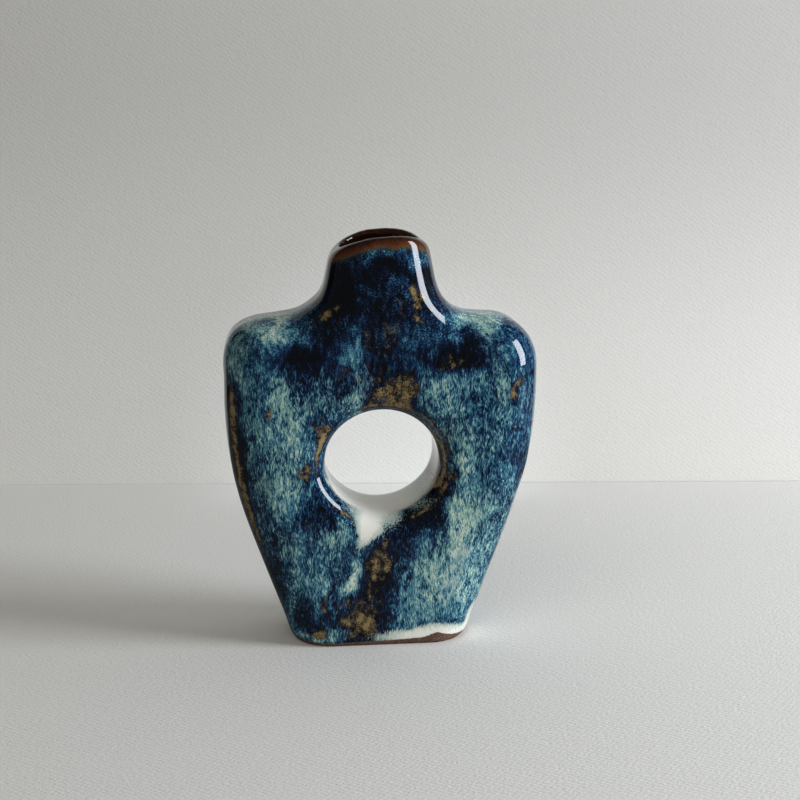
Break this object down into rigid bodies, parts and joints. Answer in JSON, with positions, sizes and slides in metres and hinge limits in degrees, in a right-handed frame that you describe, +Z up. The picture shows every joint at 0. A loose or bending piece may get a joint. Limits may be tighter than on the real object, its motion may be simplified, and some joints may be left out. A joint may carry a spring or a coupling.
{
  "type": "vase",
  "caption": "Flat-sided pillow vase with a short saddle-rimmed neck, broad round shoulders tapering to a narrow foot, and an oval hole through its middle; holds stems in water.",
  "frame": {"origin": "middle of the foot, on the surface that the vase stands on", "axes": "+Z up through the rim, +X to the right as the front is seen, front towards -Y"},
  "size_m": [0.1228, 0.041, 0.1604],
  "materials": {
    "body_glaze": "gloss, mottled blue and teal",
    "tunnel_glaze": "gloss, cream white",
    "neck_glaze": "gloss, dark navy",
    "rim_glaze": "gloss, rust brown",
    "foot_clay": "matt, bare fired clay"
  },
  "bodies": {
    "root": {"foot_slab": "foot_clay", "front_slab": "body_glaze", "back_slab": "body_glaze", "left_side_strip": "body_glaze", "right_side_strip": "body_glaze", "tunnel": "tunnel_glaze", "neck_collar": "neck_glaze", "lip": "rim_glaze"}
  },
  "joints": []
}
